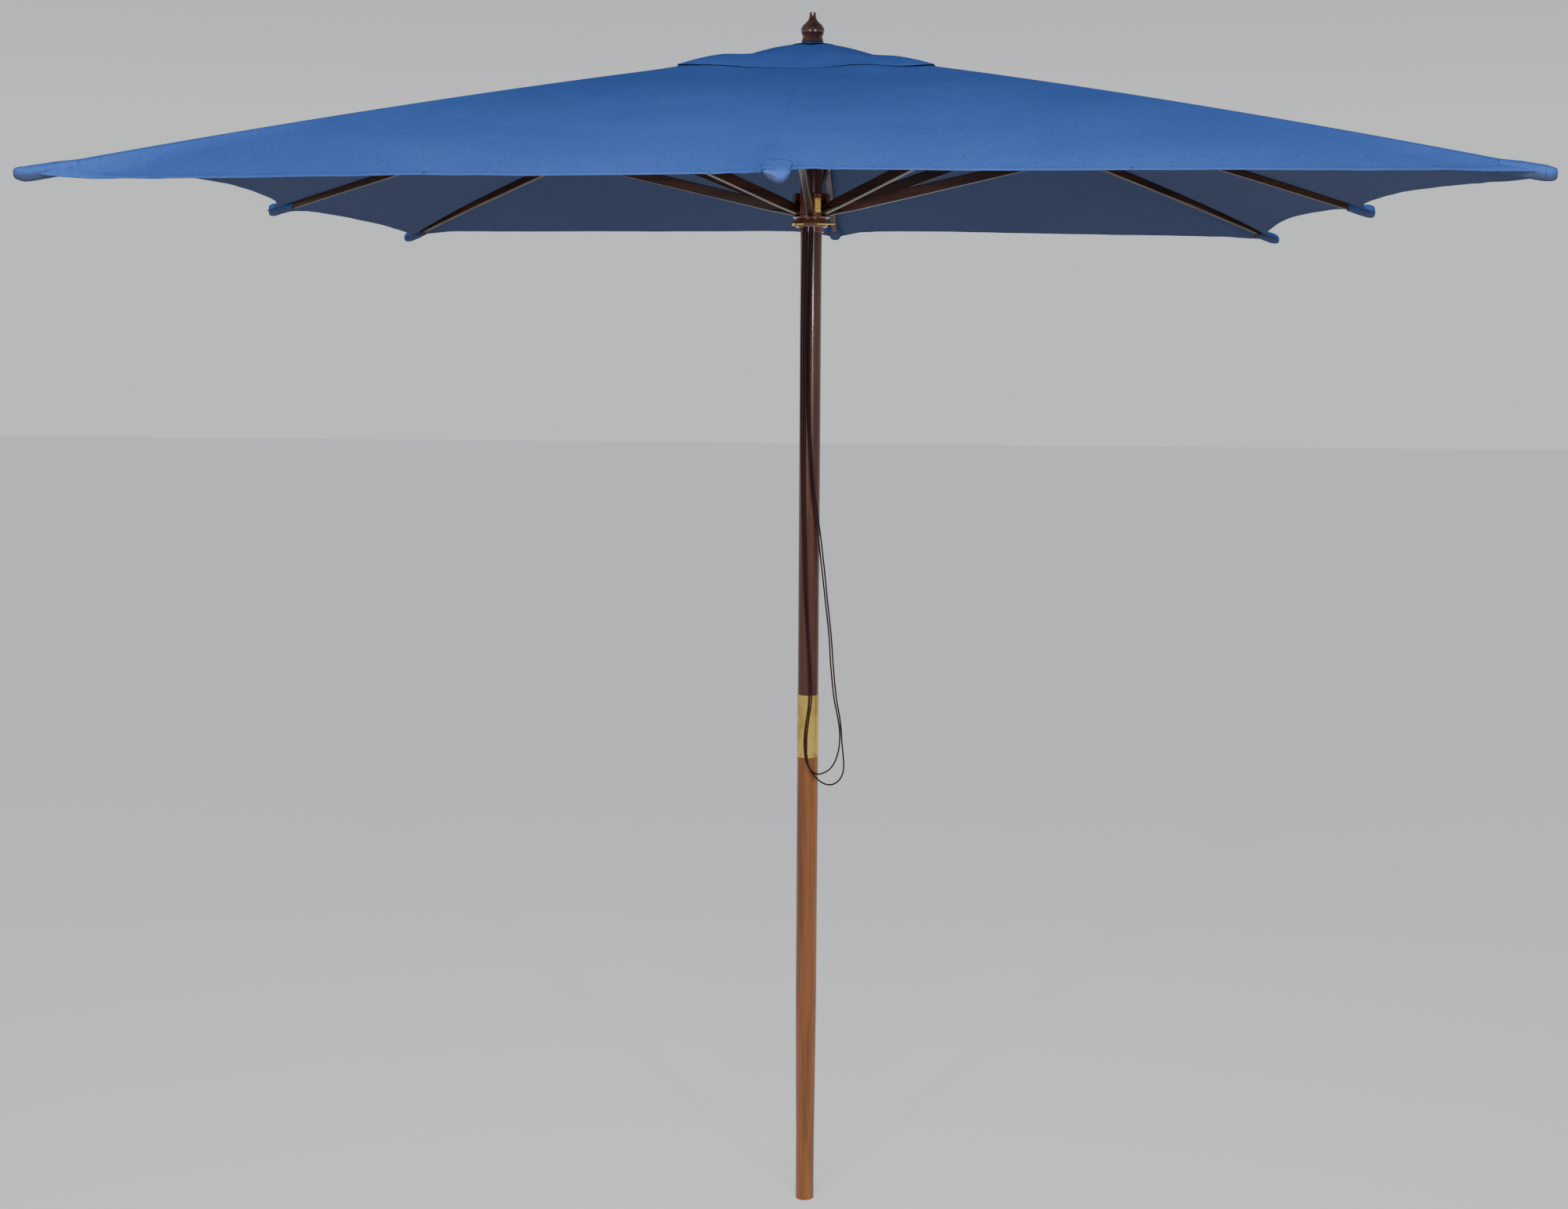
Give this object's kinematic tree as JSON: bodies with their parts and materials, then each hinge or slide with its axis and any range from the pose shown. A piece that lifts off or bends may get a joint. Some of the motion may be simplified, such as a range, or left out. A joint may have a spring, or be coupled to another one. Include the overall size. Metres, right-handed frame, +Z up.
{
  "type": "market umbrella",
  "caption": "Square wooden market umbrella with a vented cloth canopy, hinged ribs and struts, a sliding runner, a pull rope, a brass ferrule and a turned finial.",
  "frame": {"origin": "centre of the pole's flat foot", "axes": "+Z up the pole, -Y the front where the rope hangs, +X to the right seen from the front"},
  "size_m": [2.438, 2.438, 2.7035],
  "materials": {
    "canopy_cloth": "plain woven blue canvas with hemmed edges",
    "frame_wood": "glossy dark mahogany stain",
    "pole_wood": "glossy reddish-brown stain",
    "foot_wood": "glossy orange-brown stain",
    "finial_wood": "dark glossy varnish",
    "brass": "polished",
    "rope": "twisted dark burgundy cord"
  },
  "bodies": {
    "base": {"lower_pole": "foot_wood", "ferrule": "brass", "ferrule_screws": "brass"},
    "mast": {"upper_pole": "pole_wood", "top_hub": "frame_wood", "hub_pins": "brass", "crown_block": "frame_wood", "finial_stud": "brass", "finial": "finial_wood", "canopy_crown": "canopy_cloth", "pulley_axle": "brass"},
    "pulley": {"pulley_wheel": "brass"},
    "rib_arm_0": {"rib_0": "frame_wood", "rib_bracket_0": "brass", "canopy_gore_0": "canopy_cloth"},
    "rib_arm_1": {"rib_1": "frame_wood", "rib_bracket_1": "brass", "canopy_gore_1": "canopy_cloth"},
    "rib_arm_2": {"rib_2": "frame_wood", "rib_bracket_2": "brass", "canopy_gore_2": "canopy_cloth"},
    "rib_arm_3": {"rib_3": "frame_wood", "rib_bracket_3": "brass", "canopy_gore_3": "canopy_cloth"},
    "rib_arm_4": {"rib_4": "frame_wood", "rib_bracket_4": "brass", "canopy_gore_4": "canopy_cloth"},
    "rib_arm_5": {"rib_5": "frame_wood", "rib_bracket_5": "brass", "canopy_gore_5": "canopy_cloth"},
    "rib_arm_6": {"rib_6": "frame_wood", "rib_bracket_6": "brass", "canopy_gore_6": "canopy_cloth"},
    "rib_arm_7": {"rib_7": "frame_wood", "rib_bracket_7": "brass", "canopy_gore_7": "canopy_cloth"},
    "strut_arm_0": {"strut_0": "frame_wood"},
    "strut_arm_1": {"strut_1": "frame_wood", "strut_pin_1": "brass"},
    "strut_arm_2": {"strut_2": "frame_wood"},
    "strut_arm_3": {"strut_3": "frame_wood", "strut_pin_3": "brass"},
    "strut_arm_4": {"strut_4": "frame_wood"},
    "strut_arm_5": {"strut_5": "frame_wood", "strut_pin_5": "brass"},
    "strut_arm_6": {"strut_6": "frame_wood"},
    "strut_arm_7": {"strut_7": "frame_wood", "strut_pin_7": "brass"},
    "slider": {"runner": "frame_wood", "runner_pins": "brass", "rope_plate": "brass", "rope_a": "rope", "rope_b": "rope"},
    "stop": {"stop_pin": "brass"}
  },
  "joints": [
    {"name": "mast_lift", "type": "slide", "parent": "base", "child": "mast", "axis": [0, 0, 1], "range_m": [0, 0.075]},
    {"name": "pulley_spin", "type": "hinge", "parent": "mast", "child": "pulley", "pos_m": [0, 0, 2.5], "axis": [1, 0, 0], "continuous": true},
    {"name": "fold", "type": "hinge", "parent": "mast", "child": "rib_arm_0", "pos_m": [0.037, 0, 2.566], "axis": [0, 1, 0], "range_deg": [0, 75], "deforming": ["canopy_gore_0"]},
    {"name": "rib_fold_1", "type": "hinge", "parent": "mast", "child": "rib_arm_1", "pos_m": [0.02616, 0.02616, 2.566], "axis": [-0.7071, 0.7071, 0], "range_deg": [0, 78.6], "deforming": ["canopy_gore_1"]},
    {"name": "rib_fold_2", "type": "hinge", "parent": "mast", "child": "rib_arm_2", "pos_m": [0, 0.037, 2.566], "axis": [-1, 0, 0], "range_deg": [0, 75], "deforming": ["canopy_gore_2"]},
    {"name": "rib_fold_3", "type": "hinge", "parent": "mast", "child": "rib_arm_3", "pos_m": [-0.02616, 0.02616, 2.566], "axis": [-0.7071, -0.7071, 0], "range_deg": [0, 78.6], "deforming": ["canopy_gore_3"]},
    {"name": "rib_fold_4", "type": "hinge", "parent": "mast", "child": "rib_arm_4", "pos_m": [-0.037, 0, 2.566], "axis": [0, -1, 0], "range_deg": [0, 75], "deforming": ["canopy_gore_4"]},
    {"name": "rib_fold_5", "type": "hinge", "parent": "mast", "child": "rib_arm_5", "pos_m": [-0.02616, -0.02616, 2.566], "axis": [0.7071, -0.7071, 0], "range_deg": [0, 78.6], "deforming": ["canopy_gore_5"]},
    {"name": "rib_fold_6", "type": "hinge", "parent": "mast", "child": "rib_arm_6", "pos_m": [0, -0.037, 2.566], "axis": [1, 0, 0], "range_deg": [0, 75], "deforming": ["canopy_gore_6"]},
    {"name": "rib_fold_7", "type": "hinge", "parent": "mast", "child": "rib_arm_7", "pos_m": [0.02616, -0.02616, 2.566], "axis": [0.7071, 0.7071, 0], "range_deg": [0, 78.6], "deforming": ["canopy_gore_7"]},
    {"name": "strut_fold_0", "type": "hinge", "parent": "rib_arm_0", "child": "strut_arm_0", "pos_m": [0.65767, 0, 2.42271], "axis": [0, 1, 0], "range_deg": [-150.1, 0]},
    {"name": "strut_fold_1", "type": "hinge", "parent": "rib_arm_1", "child": "strut_arm_1", "pos_m": [0.46451, 0.46451, 2.46559], "axis": [-0.7071, 0.7071, 0], "range_deg": [-150.1, 0]},
    {"name": "strut_fold_2", "type": "hinge", "parent": "rib_arm_2", "child": "strut_arm_2", "pos_m": [0, 0.65767, 2.42271], "axis": [-1, 0, 0], "range_deg": [-150.1, 0]},
    {"name": "strut_fold_3", "type": "hinge", "parent": "rib_arm_3", "child": "strut_arm_3", "pos_m": [-0.46451, 0.46451, 2.46559], "axis": [-0.7071, -0.7071, 0], "range_deg": [-150.1, 0]},
    {"name": "strut_fold_4", "type": "hinge", "parent": "rib_arm_4", "child": "strut_arm_4", "pos_m": [-0.65767, 0, 2.42271], "axis": [0, -1, 0], "range_deg": [-150.1, 0]},
    {"name": "strut_fold_5", "type": "hinge", "parent": "rib_arm_5", "child": "strut_arm_5", "pos_m": [-0.46451, -0.46451, 2.46559], "axis": [0.7071, -0.7071, 0], "range_deg": [-150.1, 0]},
    {"name": "strut_fold_6", "type": "hinge", "parent": "rib_arm_6", "child": "strut_arm_6", "pos_m": [0, -0.65767, 2.42271], "axis": [1, 0, 0], "range_deg": [-150.1, 0]},
    {"name": "strut_fold_7", "type": "hinge", "parent": "rib_arm_7", "child": "strut_arm_7", "pos_m": [0.46451, -0.46451, 2.46559], "axis": [0.7071, 0.7071, 0], "range_deg": [-150.1, 0]},
    {"name": "runner_level", "type": "hinge", "parent": "strut_arm_0", "child": "slider", "pos_m": [0.037, 0, 2.27941], "axis": [0, 1, 0], "range_deg": [0, 75.1]},
    {"name": "stop_pin_pull", "type": "slide", "parent": "slider", "child": "stop", "axis": [-1, 0, 0], "range_m": [0, 0.1]}
  ],
  "couplings": [
    {"joint": "rib_fold_1", "follows": "fold", "ratio": 1.047},
    {"joint": "rib_fold_2", "follows": "fold", "ratio": 1},
    {"joint": "rib_fold_3", "follows": "fold", "ratio": 1.047},
    {"joint": "rib_fold_4", "follows": "fold", "ratio": 1},
    {"joint": "rib_fold_5", "follows": "fold", "ratio": 1.047},
    {"joint": "rib_fold_6", "follows": "fold", "ratio": 1},
    {"joint": "rib_fold_7", "follows": "fold", "ratio": 1.047},
    {"joint": "strut_fold_0", "follows": "fold", "ratio": -2},
    {"joint": "strut_fold_1", "follows": "fold", "ratio": -1.994},
    {"joint": "strut_fold_2", "follows": "fold", "ratio": -2},
    {"joint": "strut_fold_3", "follows": "fold", "ratio": -1.994},
    {"joint": "strut_fold_4", "follows": "fold", "ratio": -2},
    {"joint": "strut_fold_5", "follows": "fold", "ratio": -1.994},
    {"joint": "strut_fold_6", "follows": "fold", "ratio": -2},
    {"joint": "strut_fold_7", "follows": "fold", "ratio": -1.994},
    {"joint": "runner_level", "follows": "fold", "ratio": 1}
  ]
}
